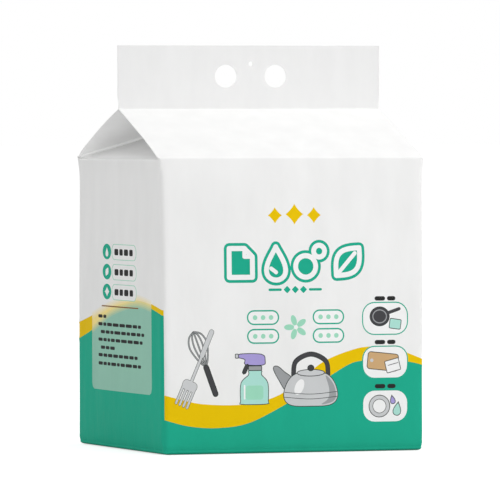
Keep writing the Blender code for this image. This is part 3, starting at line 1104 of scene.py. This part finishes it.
def film_material(ink):
    """Printed polyethylene film: even ink with slight clouding, a soft sheen and fine wrinkles."""
    material, tree, shader = new_material("film_" + ink)
    join = tree.links.new
    place = node(tree, "Mapping", {"Scale": FILM_PULL})
    join(node(tree, "TexCoord").outputs["Object"], place.inputs["Vector"])
    dark, pale = ([min(c * share, 1) for c in INKS[ink]] + [1]
                  for share in (1 - CLOUDING, 1 + CLOUDING))
    mix = node(tree, "Mix", {"A": dark, "B": pale}, data_type="RGBA")
    cloud = ranged(tree, noise_value(tree, place, CLOUDING_SCALE), 0, 1)
    join(cloud, mix.inputs["Factor"])
    join(mix.outputs["Result"], shader.inputs["Base Color"])
    rough = ranged(tree, noise_value(tree, place, ROUGHNESS_SCALE), *FILM_ROUGHNESS)
    join(rough, shader.inputs["Roughness"])
    sheen = CREASE_SHEEN if ink == "creased_film" else FILM_SHEEN
    valued(shader, {"IOR": FILM_IOR, "Specular IOR Level": sheen})
    if ink == "thin_film":
        valued(shader, {"Subsurface Weight": FILM_GLOW, "Subsurface Radius": (1, 1, 1),
                        "Subsurface Scale": FILM_GLOW_DEPTH})
    height = None
    for scale, depth in FILM_WRINKLES:
        bump = node(tree, "Bump", {"Strength": 1.0, "Distance": depth})
        join(noise_value(tree, place, scale), bump.inputs["Height"])
        if height:
            join(height, bump.inputs["Normal"])
        height = bump.outputs["Normal"]
    join(height, shader.inputs["Normal"])
    return material


def put_in_scene(name, data):
    """A new object with this data."""
    new = bpy.data.objects.new(name, data)
    bpy.context.scene.collection.objects.link(new)
    return new


def make_pack():
    """One closed mesh for the whole bag, welded where its sheets meet."""
    film = whole_film()
    mesh = bpy.data.meshes.new("towel_pack_film")
    mesh.from_pydata([settled(point) for point in film.points], [], film.faces)
    inks = sorted(set(film.inks))
    for ink in inks:
        mesh.materials.append(film_material(ink))
    numbers = {ink: number for number, ink in enumerate(inks)}
    mesh.polygons.foreach_set("material_index", [numbers[ink] for ink in film.inks])
    joined = bmesh.new()
    joined.from_mesh(mesh)
    bmesh.ops.remove_doubles(joined, verts=joined.verts, dist=WELD)
    joined.to_mesh(mesh)
    joined.free()
    mesh.polygons.foreach_set("use_smooth", [True] * len(mesh.polygons))
    mesh.set_sharp_from_angle(angle=math.radians(SHARP_ANGLE))
    return put_in_scene("towel_pack_film", mesh)


def make_floor():
    """A plain white floor that shows white to the camera and keeps the pack's shadow."""
    mesh = bpy.data.meshes.new("floor")
    half = FLOOR_SIZE / 2
    corners = [(-half, -half, 0), (half, -half, 0), (half, half, 0), (-half, half, 0)]
    mesh.from_pydata(corners, [], [(0, 1, 2, 3)])
    floor = put_in_scene("floor", mesh)
    floor.location.z = -FLOOR_DROP
    material, tree, shader = new_material("floor_white")
    valued(shader, {"Base Color": (*FLOOR_WHITE, 1), "Roughness": FLOOR_ROUGHNESS,
                    "Specular IOR Level": 0.0, "Emission Color": (1, 1, 1, 1)})
    rays = node(tree, "LightPath")
    glow = node(tree, "Math", operation="MULTIPLY")
    glow.inputs[1].default_value = FLOOR_GLOW
    tree.links.new(rays.outputs["Is Camera Ray"], glow.inputs[0])
    tree.links.new(glow.outputs["Value"], shader.inputs["Emission Strength"])
    mesh.materials.append(material)
    return floor


def light_scene():
    """An even pale surrounding and four soft lamps: in front, above, to the left and behind."""
    world = bpy.data.worlds.new("pale_surroundings")
    bpy.context.scene.world = world
    world.use_nodes = True
    tree = world.node_tree
    join = tree.links.new
    background = tree.nodes["Background"]
    background.inputs["Color"].default_value = (1, 1, 1, 1)
    rays = node(tree, "LightPath")
    seen = rays.outputs["Is Camera Ray"]
    for other in ("Is Glossy Ray", "Is Transmission Ray"):
        either = node(tree, "Math", operation="MAXIMUM")
        join(seen, either.inputs[0])
        join(rays.outputs[other], either.inputs[1])
        seen = either.outputs["Value"]
    level = node(tree, "MapRange", {"To Min": SURROUND_LEVEL, "To Max": 1.0})
    join(seen, level.inputs["Value"])
    join(level.outputs["Result"], background.inputs["Strength"])
    for name, (power, size, direction) in LAMPS.items():
        lamp = bpy.data.lights.new(name, "AREA")
        lamp.shape = "DISK"
        lamp.size = size
        lamp.energy = power
        placed = put_in_scene(name, lamp)
        placed.location = AIM + Vector(direction).normalized() * LAMP_DISTANCE
        placed.rotation_euler = Vector(direction).to_track_quat("Z", "Y").to_euler()


def place_camera():
    """The photo's view, from afar with a long lens."""
    camera = bpy.data.cameras.new("camera")
    camera.lens = CAMERA_LENS
    camera.sensor_width = 36
    camera.clip_end = 100
    viewer = put_in_scene("camera", camera)
    azimuth = math.radians(CAMERA_AZIMUTH)
    away = Vector((math.sin(azimuth), -math.cos(azimuth), 0)) * CAMERA_DISTANCE
    across = Vector((math.cos(azimuth), math.sin(azimuth), 0)) * CAMERA_SIDESTEP
    viewer.location = Vector((0, 0, CAMERA_HEIGHT)) + away + across
    viewer.rotation_euler = (math.radians(90 - CAMERA_PITCH), 0, azimuth)
    bpy.context.scene.camera = viewer


pack = make_pack()
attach(pack, "root")
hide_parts("towel_pack")
make_floor()
light_scene()
place_camera()
bpy.context.scene.view_settings.view_transform = "Standard"
